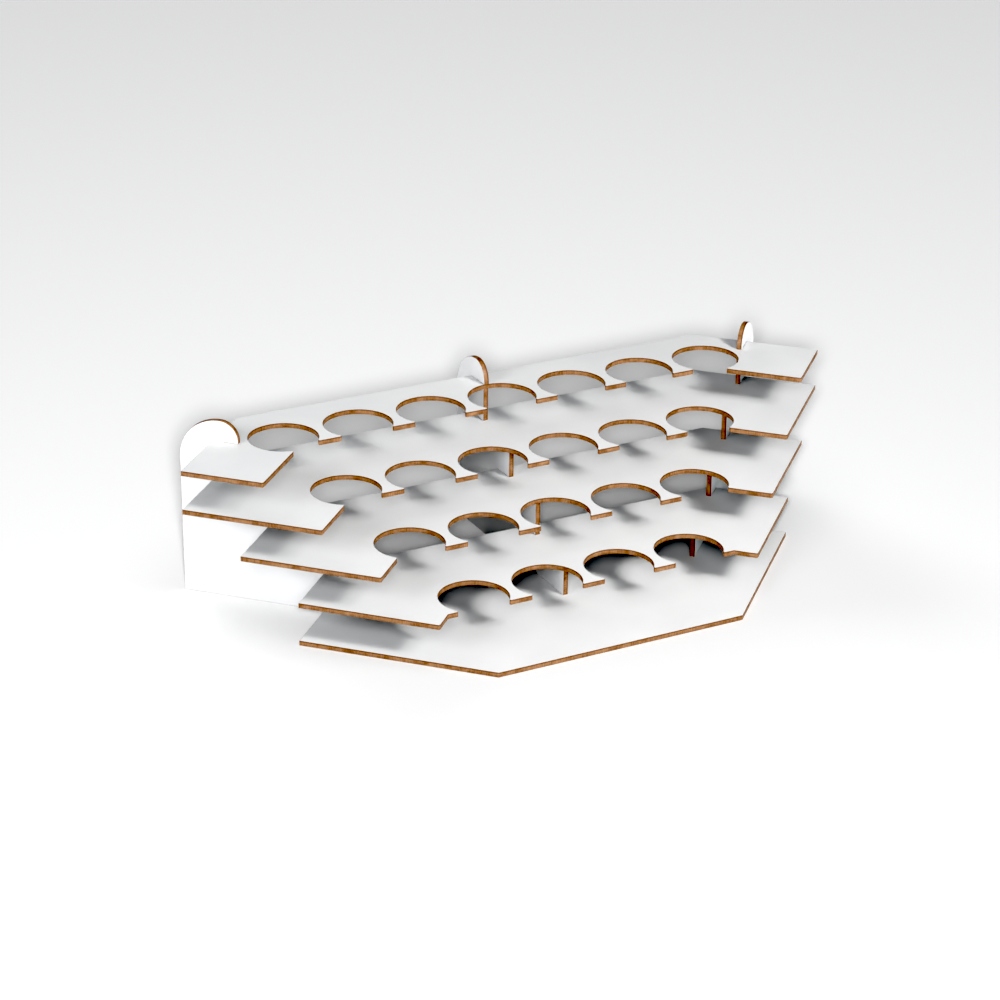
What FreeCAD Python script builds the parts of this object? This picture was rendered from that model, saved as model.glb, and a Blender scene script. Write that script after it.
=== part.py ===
import FreeCAD, Part
import math
import os

# Corner paint rack: a flat-pack assembly cut from 3 mm white-faced board.
# Four shelves with open-fronted jar cut-outs step down and forward over a
# plain base plate, and three upright ribs carry them. Every shelf crosses
# every rib in a halving joint: the shelf is slotted from its wall side, the
# rib is notched from its front, and each keeps half of the crossing.
#
# Millimetres, +Z up, the front of the rack towards -Y. The rack is mirror
# symmetric about X = 0. Shelves are first drawn in a plan whose y is zero on
# the line of the top row of jars, then moved back by PLAN_SHIFT so that the
# origin is under the middle of the whole rack.

# ---- driving dimensions -------------------------------------------------
THICK = 3.0              # board thickness
HOLE_D = 41.0            # jar cut-out
PITCH = 47.25            # jar spacing along a row
STEP = 34.5              # how far each shelf comes forward of the one above
LEVEL = 23.76            # height from one board to the next
JARS = (7, 6, 5, 4)      # cut-outs per shelf, top shelf first
HORN = 13.5              # shelf front line, in front of the row's centres

END = 163.46             # end faces, measured along the wall from the corner
WALL = 136.54            # wing edge of the two upper shelves, square to that
WING_DEPTH = 49.4        # depth of a wing of the top shelf
SETBACK = (0.0, 0.0, 34.5, 69.0, 69.0)     # wing edge behind WALL, per board
BACK = (37.5, 36.8, 1.0, -33.5, -33.5)     # rear edge across the corner
BASE_FRONT = -151.6      # straight front edge of the base plate
CORNER_R = 1.2           # softened outer front corners of the wings
TIP_R = 0.9              # burnt-back tips of the horns between the jars

RIB_INSET = 45.1         # end face of the boards to outer face of a side rib
SIDE_REAR = -20.7        # side rib rear edge, behind the wing edge
SIDE_FRONT = (14.3, 48.8, 83.3, 121.0)     # side rib front edge, per gap
SIDE_JOINT = 7.15        # depth of a shelf slot on a side rib
MID_REAR = 56.6          # middle rib rear edge
MID_FRONT = (20.9, -13.3, -47.6, -83.2)    # middle rib front edge, per gap
EAR_TOP = 111.0          # height of the rounded ear on top of each rib
EAR_REAR_R = 25.0        # the ear's long rear curve
EAR_FRONT_R = 11.5       # and its tighter front curve

PLAY = 0.1               # clearance in the halving joints
OVERCUT = 1.0            # how far a cutting shape runs past the board
SAME_SPOT = 1e-3         # two points closer than this are one corner
PLAN_SHIFT = (-BASE_FRONT - MID_REAR) / 2.0

ROOT2 = math.sqrt(2.0)
TOP_Z = [THICK + LEVEL * (4 - i) for i in range(5)]    # upper faces
WING_FRONT = [WALL - WING_DEPTH - STEP * i for i in range(4)]


def plan(wall, end, side):
    """Plan point from its distances square to and along one wall."""
    return (side * (wall + end) / ROOT2, (wall - end) / ROOT2)


def soften(body, corners, radius):
    """Round the upright edges that stand on the given plan corners."""
    edges = []
    for edge in body.Edges:
        ends = [v.Point for v in edge.Vertexes]
        for x, y in corners:
            if all(math.hypot(p.x - x, p.y - y) < SAME_SPOT for p in ends):
                edges.append(edge)
    return body.makeFillet(radius, edges)


def outline(level):
    """Outline of one board, mirror symmetric, and its front wing corners."""
    wall = WALL - SETBACK[level]
    back = BACK[level]
    right = [(ROOT2 * wall - back, back), plan(wall, END, 1)]
    if level < 4:
        front_wall = WING_FRONT[level]
        front_y = -STEP * level - HORN
        wing_tip = plan(front_wall, END, 1)
        right.append(wing_tip)
        right.append((ROOT2 * front_wall - front_y, front_y))
    else:
        wing_tip = (ROOT2 * END + BASE_FRONT, BASE_FRONT)
        right.append(wing_tip)
    left = [(-x, y) for x, y in reversed(right)]
    return right + left, [wing_tip, (-wing_tip[0], wing_tip[1])]


def jar_centres(level):
    """Plan centres of the jar cut-outs in one shelf."""
    count = JARS[level]
    return [((k - (count - 1) / 2.0) * PITCH, -STEP * level) for k in range(count)]


def side_box(side, front_from, front_to, z0, z1, grow=0.0):
    """Box in the plane of a side rib, front distances from the WALL line."""
    length = front_to - front_from
    box = Part.makeBox(THICK + 2 * grow, length, z1 - z0,
                       FreeCAD.Vector(-grow, 0, z0))
    # local y becomes forward of the wall, local x runs towards the corner
    box.rotate(FreeCAD.Vector(0, 0, 0), FreeCAD.Vector(0, 0, 1), 135)
    x, y = plan(WALL - front_from, END - RIB_INSET, 1)
    box.translate(FreeCAD.Vector(x, y, 0))
    if side < 0:
        box = box.mirror(FreeCAD.Vector(0, 0, 0), FreeCAD.Vector(1, 0, 0))
    return box


def side_crossing(level):
    """Front distances of a board's wall edge and of its joint with a rib."""
    start = SETBACK[level]
    if level < 4:
        return start, start + SIDE_JOINT
    return start, (start + SIDE_FRONT[3]) / 2.0


def middle_joint(level):
    """Plan y at which the middle rib and a board change over."""
    return (BACK[level] + MID_FRONT[max(level - 1, 0)]) / 2.0


def horn_tips(level):
    """Plan corners where the jar cut-outs break through the front edges."""
    half = math.sqrt((HOLE_D / 2) ** 2 - HORN ** 2)
    centres = jar_centres(level)
    tips = [(x + side * half, y - HORN) for x, y in centres for side in (-1, 1)]
    # the outermost cut-outs of the upper shelves break through a wing instead
    x, y = centres[-1]
    ahead = (x + y) / ROOT2 - WING_FRONT[level]
    reach = math.sqrt((HOLE_D / 2) ** 2 - ahead ** 2)
    for side in (-1, 1):
        tips.append(plan(WING_FRONT[level], (x - y) / ROOT2 + reach, side))
    return tips


def board(level):
    """One shelf, or the base plate when level is 4."""
    bottom = TOP_Z[level] - THICK
    points, wing_tips = outline(level)
    ring = [FreeCAD.Vector(x, y, bottom) for x, y in points]
    body = Part.Face(Part.makePolygon(ring + ring[:1]))
    body = body.extrude(FreeCAD.Vector(0, 0, THICK))
    body = soften(body, wing_tips, CORNER_R)
    if level < 4:
        for x, y in jar_centres(level):
            body = body.cut(Part.makeCylinder(
                HOLE_D / 2, THICK + 2 * OVERCUT,
                FreeCAD.Vector(x, y, bottom - OVERCUT)))
        body = soften(body, horn_tips(level), TIP_R)
    # slots for the three ribs, open at the wall side
    low, high = bottom - OVERCUT, bottom + THICK + OVERCUT
    for side in (-1, 1):
        start, joint = side_crossing(level)
        body = body.cut(side_box(side, start - OVERCUT, joint, low, high, PLAY / 2))
    joint = middle_joint(level)
    width = THICK + PLAY
    body = body.cut(Part.makeBox(
        width, BACK[level] + OVERCUT - joint, high - low,
        FreeCAD.Vector(-width / 2, joint, low)))
    return body


def rib(steps, rear, joints, floor_joint):
    """Upright rib drawn in its own plane: s runs forward, z runs up.

    steps holds the front edge under each shelf, joints the depth to which
    each shelf is let in. The ear stands over the top shelf.
    """
    crest = rear + EAR_REAR_R
    nose = crest + EAR_FRONT_R
    shoulder = EAR_TOP - EAR_REAR_R
    cheek = EAR_TOP - EAR_FRONT_R
    tail = [(nose, cheek), (nose, TOP_Z[0] + PLAY)]
    for i in range(4):
        # notch for board i, then down the front edge of the gap below it
        under = TOP_Z[i] - THICK
        tail += [(joints[i], TOP_Z[i] + PLAY), (joints[i], under),
                 (steps[i], under)]
        if i < 3:
            tail.append((steps[i], TOP_Z[i + 1] + PLAY))
    tail += [(steps[3], THICK), (floor_joint, THICK), (floor_joint, 0.0)]

    def vec(p):
        return FreeCAD.Vector(0, p[0], p[1])
    slant = math.sqrt(0.5)
    behind = (crest - EAR_REAR_R * slant, shoulder + EAR_REAR_R * slant)
    ahead = (crest + EAR_FRONT_R * slant, cheek + EAR_FRONT_R * slant)
    top = (crest, EAR_TOP)
    edges = [Part.makeLine(vec((rear, 0.0)), vec((rear, shoulder))),
             Part.Arc(vec((rear, shoulder)), vec(behind), vec(top)).toShape(),
             Part.Arc(vec(top), vec(ahead), vec((nose, cheek))).toShape()]
    chain = tail + [(rear, 0.0)]
    for p, q in zip(chain[:-1], chain[1:]):
        edges.append(Part.makeLine(vec(p), vec(q)))
    return Part.Face(Part.Wire(edges)).extrude(FreeCAD.Vector(THICK, 0, 0))


def side_rib(side):
    """Side rib, square to its wall; s is measured forward of the WALL line."""
    joints = [side_crossing(i)[1] for i in range(4)]
    body = rib(SIDE_FRONT, SIDE_REAR, joints, side_crossing(4)[1])
    # local +y becomes "forward of the wall", local +x runs towards the corner
    body.rotate(FreeCAD.Vector(0, 0, 0), FreeCAD.Vector(0, 0, 1), 135)
    body.translate(FreeCAD.Vector(*plan(WALL, END - RIB_INSET, 1), 0))
    if side < 0:
        body = body.mirror(FreeCAD.Vector(0, 0, 0), FreeCAD.Vector(1, 0, 0))
    return body


def middle_rib():
    """Middle rib, standing in the plane of symmetry and running back."""
    steps = [-y for y in MID_FRONT]
    joints = [-middle_joint(i) for i in range(4)]
    body = rib(steps, -MID_REAR, joints, -middle_joint(4))
    body.translate(FreeCAD.Vector(-THICK / 2, 0, 0))
    body.rotate(FreeCAD.Vector(0, 0, 0), FreeCAD.Vector(0, 0, 1), 180)
    return body


parts = {}
for index, name in enumerate(("top_shelf", "second_shelf", "third_shelf",
                              "fourth_shelf", "base_plate")):
    parts[name] = board(index)
parts["left_rib"] = side_rib(-1)
parts["middle_rib"] = middle_rib()
parts["right_rib"] = side_rib(1)

os.makedirs("parts", exist_ok=True)
for name, shape in parts.items():
    shape.translate(FreeCAD.Vector(0, PLAN_SHIFT, 0))
    shape = shape.removeSplitter()
    shape.exportStep("parts/" + name + ".step")
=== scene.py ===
import math

import bmesh
import bpy
from mathutils import Matrix, Vector


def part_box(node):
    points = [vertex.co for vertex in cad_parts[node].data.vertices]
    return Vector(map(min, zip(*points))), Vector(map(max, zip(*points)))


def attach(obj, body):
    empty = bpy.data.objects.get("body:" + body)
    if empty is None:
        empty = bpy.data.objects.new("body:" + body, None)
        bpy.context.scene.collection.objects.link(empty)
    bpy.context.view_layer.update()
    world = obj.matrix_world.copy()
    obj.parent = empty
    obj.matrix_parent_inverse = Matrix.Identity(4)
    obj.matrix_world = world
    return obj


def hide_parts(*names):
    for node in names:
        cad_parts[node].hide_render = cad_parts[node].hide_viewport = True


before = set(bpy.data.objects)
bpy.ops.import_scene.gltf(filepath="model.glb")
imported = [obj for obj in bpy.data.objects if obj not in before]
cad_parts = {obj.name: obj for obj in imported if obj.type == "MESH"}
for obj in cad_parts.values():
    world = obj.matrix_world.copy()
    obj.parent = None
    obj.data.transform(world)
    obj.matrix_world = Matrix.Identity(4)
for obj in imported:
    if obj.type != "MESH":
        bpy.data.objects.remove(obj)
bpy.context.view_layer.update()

scene = bpy.context.scene
MM = 0.001

# ---- camera: metres and degrees ---------------------------------------------
CAMERA_AT = Vector((-0.7045, -1.2874, 0.7243))
CAMERA_YAW = 27.81            # to the right of straight ahead (+Y)
CAMERA_PITCH = 24.71          # below the horizon
CAMERA_ROLL = 0.79
LENS_MM = 98.52
SENSOR_MM = 36

# ---- board meshes -----------------------------------------------------------
LIP = 0.14 * MM               # rounded, scorched lip round every cut edge
LIP_STEPS = 2
ARC_STEP = math.radians(2.5)  # finest step along a curved edge
FINE_ENOUGH = 5 * MM          # faceted arcs under this radius are left as they are
LARGEST_ARC = 50 * MM         # no board has a curved edge of a larger radius
CORNER = math.radians(25)     # a sharper turn than this is a real corner
SAME_CENTRE = 0.01            # share of the radius by which two centres may differ
MITRE_LIMIT = 0.3             # a lip moves in by at most its own width over this
SAME_POINT = 1e-6             # corners closer than this are one corner
NO_DISTANCE = 1e-9
NO_AREA = 1e-12               # three points that span less than this are on a line
SAME_SIDE = 0.999             # least cosine between the normals of one flat side
UPRIGHT = 0.5                 # least upward share of a level board's normal

# ---- white film -------------------------------------------------------------
FILM_DARK = (0.77, 0.775, 0.78)
FILM_PALE = (0.82, 0.825, 0.825)
FILM_CLOUD = 18               # mottling, spots per metre
FILM_GRAIN = 2200             # fine grain, the same way
FILM_SATIN = (0.42, 0.58)     # roughness from the darkest to the palest mottling
FILM_SHINE = 0.35

# ---- scorched edge ----------------------------------------------------------
EDGE_DARK = (0.16, 0.083, 0.046)
EDGE_PALE = (0.38, 0.232, 0.145)
EDGE_BLOTCH = (170, 240)      # blotches per metre along the cut and across the board
EDGE_KERF = (2600, 260)       # kerf lines, the same way
KERF_SHARE = 0.45             # share of the kerf lines in the colour
EDGE_RANGE = (0.33, 0.66)     # noise values given the dark and the pale colour
EDGE_SATIN = (0.62, 0.42)     # roughness from the darkest to the palest blotch
BURN = 0.9 * MM               # a darker line under the top film ends at this depth
BURN_FADE = 0.35 * MM         # and is at its darkest down to this one
BURN_DARK = 0.55

# ---- floor, world and card --------------------------------------------------
FLOOR_REACH = 6.0             # half the width of the floor
FLOOR_COLOUR = (0.96, 0.96, 0.96)
WORLD_COLOUR = (0.95, 0.98, 1.0)
WORLD_LIGHT = 0.05
WORLD_SEEN = 0.9
BLACK_LEVEL = 0.15            # scene brightness shown as black
CARD_INSET = 12 * MM
CARD_PASSES = 0.36            # share of the light that goes through the card
CARD_SHARE = 0.8              # of the half width of the shelves beside the card

# ---- lamps: name, place, width of the disc or angle of the sun, power, colour
AIM = Vector((0, 0, 0.05))    # what every lamp is turned to
WHITE = (1, 1, 1)
RACK_LAMPS = (
    ("key_lamp", (0.32, -0.75, 0.62), 0.14, 4.9, (1, 0.99, 0.97)),
    ("high_fill", (0.5, -1.2, 1.2), 0.6, 13.5, (1, 0.99, 0.98)),
    ("left_window", (-1.5, -0.45, 0.75), 0.9, 15.5, (0.98, 0.99, 1)),
    ("front_fill", (-0.9, -1.7, 1.0), 0.8, 27, (0.99, 0.99, 1)),
    ("rear_fill", (0.2, 1.5, 1.0), 1.0, 4, (0.95, 0.98, 1)),
    ("low_right", (1.2, -1.2, 0.06), 0.2, 4.5, (0.86, 0.97, 1)),
)
FLOOR_LAMP = ("floor_front", CAMERA_AT, 0.16, 0.14, WHITE)
FLOOR_SUNS = (
    ("floor_top", (0, -0.17, 1), math.radians(70), 0.93, WHITE),
    ("floor_back", (-0.13, 0.92, 0.43), math.radians(30), 0.9, WHITE),
)


# ---- camera, floor and light ------------------------------------------------
def add_camera():
    yaw, pitch, roll = map(math.radians, (CAMERA_YAW, CAMERA_PITCH, CAMERA_ROLL))
    right = Vector((math.cos(yaw), -math.sin(yaw), 0))
    level = Vector((math.sin(yaw), math.cos(yaw), 0))
    ahead = level * math.cos(pitch) - Vector((0, 0, math.sin(pitch)))
    up = right.cross(ahead)
    turned_right = right * math.cos(roll) + up * math.sin(roll)
    turned_up = up * math.cos(roll) - right * math.sin(roll)
    axes = Matrix((turned_right, turned_up, -ahead)).transposed()
    data = bpy.data.cameras.new("camera")
    data.lens = LENS_MM
    data.sensor_width = SENSOR_MM
    camera = bpy.data.objects.new("camera", data)
    camera.matrix_world = Matrix.Translation(CAMERA_AT) @ axes.to_4x4()
    scene.collection.objects.link(camera)
    scene.camera = camera


def new_material(name):
    """A material with its node tree and its surface shader."""
    material = bpy.data.materials.new(name)
    material.use_nodes = True
    tree = material.node_tree
    return material, tree, tree.nodes["Principled BSDF"]


def add_sheet(name, corners, material):
    """One flat four-sided face as an object."""
    mesh = bpy.data.meshes.new(name)
    mesh.from_pydata(corners, [], [(0, 1, 2, 3)])
    mesh.materials.append(material)
    sheet = bpy.data.objects.new(name, mesh)
    scene.collection.objects.link(sheet)
    return sheet


def add_floor():
    """Plain pale floor."""
    material, _, shader = new_material("pale_floor")
    shader.inputs["Base Color"].default_value = (*FLOOR_COLOUR, 1)
    shader.inputs["Roughness"].default_value = 0.9
    shader.inputs["Specular IOR Level"].default_value = 0.1
    reach = FLOOR_REACH
    corners = [(-reach, -reach, 0), (reach, -reach, 0), (reach, reach, 0), (-reach, reach, 0)]
    floor = add_sheet("floor", corners, material)


def add_card():
    """Unseen, half-open card inside the rack: dims one floor lamp in the jar holes."""
    material, _, shader = new_material("card")
    shader.inputs["Base Color"].default_value = (0, 0, 0, 1)
    shader.inputs["Alpha"].default_value = 1 - CARD_PASSES
    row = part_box("third_shelf")
    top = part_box("top_shelf")
    low, high = row[0].z, top[1].z
    near, far = row[0].y + CARD_INSET, top[1].y - CARD_INSET
    wide = 0.5 * (top[1].x - top[0].x) * CARD_SHARE
    narrow = 0.5 * (row[1].x - row[0].x) * CARD_SHARE
    corners = [(-narrow, near, low), (narrow, near, low), (wide, far, high), (-wide, far, high)]
    card = add_sheet("card", corners, material)
    card.visible_camera = card.visible_diffuse = card.visible_glossy = False
    card.visible_transmission = card.visible_volume_scatter = False


def add_lamp(kind, lights, name, place, size, power, colour, card=False):
    """Lamp turned to the rack. It lights the "rack" or the "floor", past the card
    unless card is set."""
    data = bpy.data.lights.new(name, kind)
    if kind == "SUN":
        data.angle = size
    else:
        data.shape = "DISK"
        data.size = size
    data.energy = power
    data.color = colour
    lamp = bpy.data.objects.new(name, data)
    turn = (Vector(place) - AIM).to_track_quat("Z", "Y").to_matrix().to_4x4()
    lamp.matrix_world = Matrix.Translation(place) @ turn
    lamp.visible_camera = False
    scene.collection.objects.link(lamp)
    receivers = bpy.data.collections.new(name + "_receivers")
    receivers.objects.link(bpy.data.objects["floor"])
    lamp.light_linking.receiver_collection = receivers
    if lights == "rack":
        receivers.collection_objects[0].light_linking.link_state = "EXCLUDE"
    if not card:
        blockers = bpy.data.collections.new(name + "_blockers")
        blockers.objects.link(bpy.data.objects["card"])
        lamp.light_linking.blocker_collection = blockers
        blockers.collection_objects[0].light_linking.link_state = "EXCLUDE"
    return lamp


def even_out(lamp):
    """Let a lamp reach as strongly far away as it does near by."""
    lamp.data.use_nodes = True
    tree = lamp.data.node_tree
    falloff = tree.nodes.new("ShaderNodeLightFalloff")
    tree.links.new(falloff.outputs["Constant"], tree.nodes["Emission"].inputs["Strength"])


def add_world():
    """Faint light from all round; the camera sees the same world as pale grey."""
    world = bpy.data.worlds.new("studio")
    scene.world = world
    world.use_nodes = True
    tree = world.node_tree
    background = tree.nodes["Background"]
    background.inputs["Color"].default_value = (*WORLD_COLOUR, 1)
    ray = tree.nodes.new("ShaderNodeLightPath")
    strength = tree.nodes.new("ShaderNodeMapRange")
    strength.inputs["To Min"].default_value = WORLD_LIGHT
    strength.inputs["To Max"].default_value = WORLD_SEEN
    tree.links.new(ray.outputs["Is Camera Ray"], strength.inputs["Value"])
    tree.links.new(strength.outputs["Result"], background.inputs["Strength"])


def add_light():
    add_world()
    add_card()
    for lamp in RACK_LAMPS:
        add_lamp("AREA", "rack", *lamp)
    even_out(add_lamp("AREA", "floor", *FLOOR_LAMP, card=True))
    for lamp in FLOOR_SUNS:
        add_lamp("SUN", "floor", *lamp)
    scene.cycles.diffuse_bounces = 1
    scene.view_settings.view_transform = "Standard"
    scene.view_settings.use_curve_mapping = True
    scene.view_settings.curve_mapping.black_level = (BLACK_LEVEL,) * 3
    scene.view_settings.curve_mapping.update()


# ---- materials --------------------------------------------------------------
def add_ramp(tree, positions, dark, pale):
    """Colour ramp from dark to pale between two positions."""
    ramp = tree.nodes.new("ShaderNodeValToRGB")
    for stop, position, colour in zip(ramp.color_ramp.elements, positions, (dark, pale)):
        stop.position = position
        stop.color = (*colour, 1)
    return ramp


def add_range(tree, low, high):
    """Map Range node that spreads 0 to 1 over low to high."""
    node = tree.nodes.new("ShaderNodeMapRange")
    node.inputs["To Min"].default_value = low
    node.inputs["To Max"].default_value = high
    return node


def add_bump(tree, shader, height, strength, distance):
    """Surface relief driven by a height output."""
    bump = tree.nodes.new("ShaderNodeBump")
    bump.inputs["Strength"].default_value = strength
    bump.inputs["Distance"].default_value = distance
    tree.links.new(height, bump.inputs["Height"])
    tree.links.new(bump.outputs["Normal"], shader.inputs["Normal"])


def white_film():
    """Matt white face: faint mottling, a fine grain and a soft satin."""
    material, tree, shader = new_material("white_film")
    link = tree.links.new
    place = tree.nodes.new("ShaderNodeTexCoord")

    def noise(scale, detail):
        texture = tree.nodes.new("ShaderNodeTexNoise")
        texture.inputs["Scale"].default_value = scale
        texture.inputs["Detail"].default_value = detail
        link(place.outputs["Object"], texture.inputs["Vector"])
        return texture.outputs["Fac"]

    cloud = noise(FILM_CLOUD, 4)
    grain = noise(FILM_GRAIN, 3)
    ramp = add_ramp(tree, (0.3, 0.7), FILM_DARK, FILM_PALE)
    link(cloud, ramp.inputs["Fac"])
    link(ramp.outputs["Color"], shader.inputs["Base Color"])
    satin = add_range(tree, *FILM_SATIN)
    link(cloud, satin.inputs["Value"])
    link(satin.outputs["Result"], shader.inputs["Roughness"])
    add_bump(tree, shader, grain, 0.12, 0.02 * MM)
    shader.inputs["Specular IOR Level"].default_value = FILM_SHINE
    return material


def scorched_edge():
    """Laser-cut edge: fine kerf lines across the board, blotches along it and a
    darker line under the top film. The layer "cut" gives the way along the cut
    and the height, which is zero at the top film."""
    material, tree, shader = new_material("scorched_edge")
    link = tree.links.new
    run = tree.nodes.new("ShaderNodeUVMap")
    run.uv_map = "cut"

    def noise(scales, detail):
        stretch = tree.nodes.new("ShaderNodeMapping")
        stretch.inputs["Scale"].default_value = (*scales, 1)
        texture = tree.nodes.new("ShaderNodeTexNoise")
        texture.inputs["Scale"].default_value = 1
        texture.inputs["Detail"].default_value = detail
        link(run.outputs["UV"], stretch.inputs["Vector"])
        link(stretch.outputs["Vector"], texture.inputs["Vector"])
        return texture.outputs["Fac"]

    blotch = noise(EDGE_BLOTCH, 3)
    kerf = noise(EDGE_KERF, 2)
    both = tree.nodes.new("ShaderNodeMix")
    both.inputs["Factor"].default_value = KERF_SHARE
    link(blotch, both.inputs["A"])
    link(kerf, both.inputs["B"])
    split = tree.nodes.new("ShaderNodeSeparateXYZ")
    link(run.outputs["UV"], split.inputs["Vector"])
    burn = add_range(tree, 1, BURN_DARK)
    burn.inputs["From Min"].default_value = -BURN
    burn.inputs["From Max"].default_value = -BURN_FADE
    link(split.outputs["Y"], burn.inputs["Value"])
    burnt = tree.nodes.new("ShaderNodeMath")
    burnt.operation = "MULTIPLY"
    link(both.outputs["Result"], burnt.inputs[0])
    link(burn.outputs["Result"], burnt.inputs[1])
    ramp = add_ramp(tree, EDGE_RANGE, EDGE_DARK, EDGE_PALE)
    link(burnt.outputs["Value"], ramp.inputs["Fac"])
    link(ramp.outputs["Color"], shader.inputs["Base Color"])
    satin = add_range(tree, *EDGE_SATIN)
    link(blotch, satin.inputs["Value"])
    link(satin.outputs["Result"], shader.inputs["Roughness"])
    add_bump(tree, shader, kerf, 0.5, 0.06 * MM)
    return material


# ---- board meshes -----------------------------------------------------------
def facing(face):
    """A face's normal, rounded, so that the faces of one flat side agree."""
    return tuple(round(c, 3) + 0.0 for c in face.normal)


def broad_face(node):
    """The node's larger flat side: its plane axes and its outline, in order."""
    shape = bmesh.new()
    shape.from_mesh(node.data)
    bmesh.ops.remove_doubles(shape, verts=shape.verts, dist=SAME_POINT)
    shape.normal_update()
    areas = {}
    for face in shape.faces:
        areas[facing(face)] = areas.get(facing(face), 0) + face.calc_area()
    best = max(areas, key=lambda key: (round(areas[key], 6), key))
    normal = next(f.normal.copy() for f in shape.faces if facing(f) == best)
    height = max(v.co.dot(normal) for v in shape.verts)
    floor = min(v.co.dot(normal) for v in shape.verts)
    chosen = {f for f in shape.faces if f.normal.dot(normal) > SAME_SIDE}
    following = {}
    for face in chosen:
        for loop in face.loops:
            if sum(f in chosen for f in loop.edge.link_faces) == 1:
                following[loop.vert.index] = loop.link_loop_next.vert.index
    first = min(following)
    order, at = [first], following[first]
    while at != first:
        order.append(at)
        at = following[at]
    shape.verts.ensure_lookup_table()
    if abs(normal.z) > UPRIGHT:
        across, along = Vector((1, 0, 0)), Vector((0, 1, 0))
    else:
        along = Vector((0, 0, 1))
        across = along.cross(normal)
    points = [Vector((shape.verts[i].co.dot(across), shape.verts[i].co.dot(along)))
              for i in order]
    shape.free()
    return across, along, normal, floor, height, points


def circle_of(a, b, c):
    """Centre of the circle through three points, or None on a line."""
    p, q = b - a, c - a
    area = p.cross(q)
    if abs(area) < NO_AREA:
        return None
    x = (q.y * p.length_squared - p.y * q.length_squared) / (2 * area)
    y = (p.x * q.length_squared - q.x * p.length_squared) / (2 * area)
    return a + Vector((x, y))


def turns_of(points):
    """Signed turn of the outline at each point."""
    count = len(points)
    result = []
    for i in range(count):
        before = points[i] - points[i - 1]
        after = points[(i + 1) % count] - points[i]
        result.append(math.atan2(before.cross(after), before.dot(after)))
    return result


def smooth_arcs(points):
    """The outline again, with each faceted arc divided along its true circle."""
    count = len(points)
    turns = turns_of(points)
    centres = [circle_of(points[i - 1], points[i], points[(i + 1) % count])
               for i in range(count)]
    arc = {}
    for i in range(count):
        j = (i + 1) % count
        if centres[i] is None or centres[j] is None:
            continue
        radius = (points[i] - centres[i]).length
        gentle = max(abs(turns[i]), abs(turns[j])) < CORNER
        same = (centres[i] - centres[j]).length < SAME_CENTRE * radius
        if gentle and same and FINE_ENOUGH < radius < LARGEST_ARC:
            for k in (i - 1, i, j):
                arc[k % count] = centres[i]
    fine = []
    for i in range(count):
        start, end = points[i], points[(i + 1) % count]
        fine.append(start)
        if i not in arc:
            continue
        spoke, last = start - arc[i], end - arc[i]
        turn = math.atan2(spoke.cross(last), spoke.dot(last))
        steps = max(1, round(abs(turn) / ARC_STEP))
        for k in range(1, steps):
            angle = turn * k / steps
            fine.append(arc[i] + Matrix.Rotation(angle, 2) @ spoke)
    return fine


def inset(points, distance):
    """The outline moved inwards, mitred at each point."""
    count = len(points)
    moved = []
    for i in range(count):
        before = (points[i] - points[i - 1]).normalized()
        after = (points[(i + 1) % count] - points[i]).normalized()
        inward = Vector((-before.y - after.y, before.x + after.x)).normalized()
        half = max(MITRE_LIMIT, inward.dot(Vector((-after.y, after.x))))
        moved.append(points[i] + inward * distance / half)
    return moved


def add_board(name, film, edge):
    """A board on a CAD node's outline: white faces, scorched cut edges."""
    across, along, normal, floor, height, points = broad_face(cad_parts[name])
    points = smooth_arcs(points)
    turns = turns_of(points)
    if sum(turns) < 0:
        points.reverse()
        turns = turns_of(points)
    count = len(points)
    rings = []
    for k in range(LIP_STEPS + 1):
        angle = math.pi / 2 * k / LIP_STEPS
        rings.append((LIP * (1 - math.sin(angle)), height - LIP * (1 - math.cos(angle))))
    rings += [(depth, floor + height - level) for depth, level in reversed(rings)]

    shape = bmesh.new()
    cut = shape.loops.layers.uv.new("cut")
    layers = []
    for depth, level in rings:
        ring = inset(points, depth) if depth > NO_DISTANCE else points
        layers.append([shape.verts.new(across * p.x + along * p.y + normal * level)
                       for p in ring])
    travel = [0.0]
    for i in range(count):
        travel.append(travel[-1] + (points[(i + 1) % count] - points[i]).length)
    for upper, lower, (_, high), (_, low) in zip(layers, layers[1:], rings, rings[1:]):
        for i in range(count):
            j = (i + 1) % count
            face = shape.faces.new((upper[i], lower[i], lower[j], upper[j]))
            face.material_index = 1
            face.smooth = True
            places = ((travel[i], high - height), (travel[i], low - height),
                      (travel[i + 1], low - height), (travel[i + 1], high - height))
            for loop, place in zip(face.loops, places):
                loop[cut].uv = place
            if abs(turns[i]) > CORNER:
                shape.edges.get((upper[i], lower[i])).smooth = False
    lids = [shape.faces.new(layers[0]), shape.faces.new(reversed(layers[-1]))]
    for lid in lids:
        lid.normal_update()
        for loop in lid.loops:
            loop[cut].uv = (loop.vert.co.dot(across), loop.vert.co.dot(along))
    bmesh.ops.triangulate(shape, faces=lids, ngon_method="EAR_CLIP")
    bmesh.ops.recalc_face_normals(shape, faces=shape.faces)
    mesh = bpy.data.meshes.new(name + "_board")
    shape.to_mesh(mesh)
    shape.free()
    mesh.materials.append(film)
    mesh.materials.append(edge)
    board = bpy.data.objects.new(name + "_board", mesh)
    scene.collection.objects.link(board)
    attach(board, "root")
    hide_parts(name)


add_camera()
add_floor()
add_light()
face_film = white_film()
cut_edge = scorched_edge()
for node_name in sorted(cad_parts):
    add_board(node_name, face_film, cut_edge)
